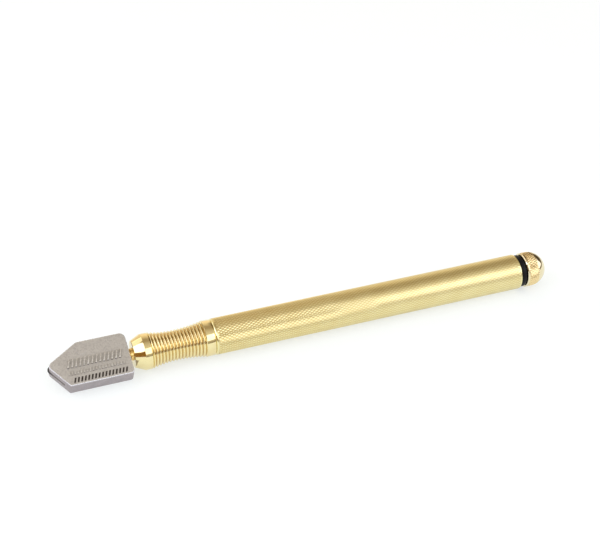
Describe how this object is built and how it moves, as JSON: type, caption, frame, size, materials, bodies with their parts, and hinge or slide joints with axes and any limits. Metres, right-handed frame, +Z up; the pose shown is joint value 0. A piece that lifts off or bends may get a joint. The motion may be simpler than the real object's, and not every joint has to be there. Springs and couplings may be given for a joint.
{
  "type": "glass cutter",
  "caption": "Pencil-grip oil-fed glass cutter: pointed cast head with a small wheel, waisted brass collar, knurled reservoir barrel and domed screw cap.",
  "frame": {"origin": "on the bench, below the middle of the tool's bounding box, as the tool lies on its side", "axes": "+X along the tool from cutting wheel to end cap, +Z up from the bench"},
  "size_m": [0.174, 0.0154, 0.0119],
  "materials": {
    "knurled_brass": "satin knurled",
    "polished_brass": "polished turned",
    "cap_brass": "polished, knurled band",
    "inner_brass": "as turned",
    "cast_zinc": "matte die-cast grain",
    "hard_metal": "dark ground hard metal",
    "steel": "ground",
    "spring_steel": "drawn wire",
    "seal_rubber": "smooth moulded",
    "wick_felt": "twisted cotton"
  },
  "bodies": {
    "handle": {"barrel": "knurled_brass", "grip_collar": "polished_brass", "collar_o_ring": "seal_rubber", "stem_o_ring": "seal_rubber", "seal_retainer": "steel", "return_spring": "spring_steel", "guide_bush": "inner_brass", "valve_seat": "inner_brass", "valve_spring": "spring_steel", "valve_cage": "inner_brass"},
    "press_carriage": {"spring_washer": "steel"},
    "head": {"cutting_head": "cast_zinc", "head_stem": "polished_brass", "wheel_axle": "steel", "oil_wick": "wick_felt", "stem_retaining_pin": "steel", "stem_circlip": "spring_steel", "swivel_stop_pin": "steel", "valve_push_pin": "steel"},
    "wheel": {"cutting_wheel": "hard_metal"},
    "valve": {"valve_ball": "steel"},
    "cap_carriage": {"cap_o_ring": "seal_rubber"},
    "cap": {"end_cap": "cap_brass"}
  },
  "joints": [
    {"name": "head_press", "type": "slide", "parent": "handle", "child": "press_carriage", "axis": [1, 0, 0], "range_m": [0, 0.001], "stiffness_N_per_m": 1500, "deforming": ["return_spring"]},
    {"name": "head_swivel", "type": "hinge", "parent": "press_carriage", "child": "head", "pos_m": [-0.0503, 0.0002, 0.00597], "axis": [1, 0, 0], "range_deg": [-56, 0]},
    {"name": "wheel_spin", "type": "hinge", "parent": "head", "child": "wheel", "pos_m": [-0.08539, 0.0006, 0.00619], "axis": [0, -0.4695, 0.8829], "continuous": true},
    {"name": "valve_lift", "type": "slide", "parent": "handle", "child": "valve", "axis": [1, 0, 0], "range_m": [0, 0.001], "stiffness_N_per_m": 60, "deforming": ["valve_spring"]},
    {"name": "cap_lift", "type": "slide", "parent": "handle", "child": "cap_carriage", "axis": [1, 0, 0], "range_m": [0, 0.006]},
    {"name": "cap_turn", "type": "hinge", "parent": "cap_carriage", "child": "cap", "pos_m": [0.0782, 0.0002, 0.00597], "axis": [1, 0, 0], "range_deg": [0, 2160]}
  ],
  "couplings": [
    {"joint": "valve_lift", "follows": "head_press", "ratio": 1},
    {"joint": "cap_lift", "follows": "cap_turn", "m_per_rad": 0.00015915}
  ]
}
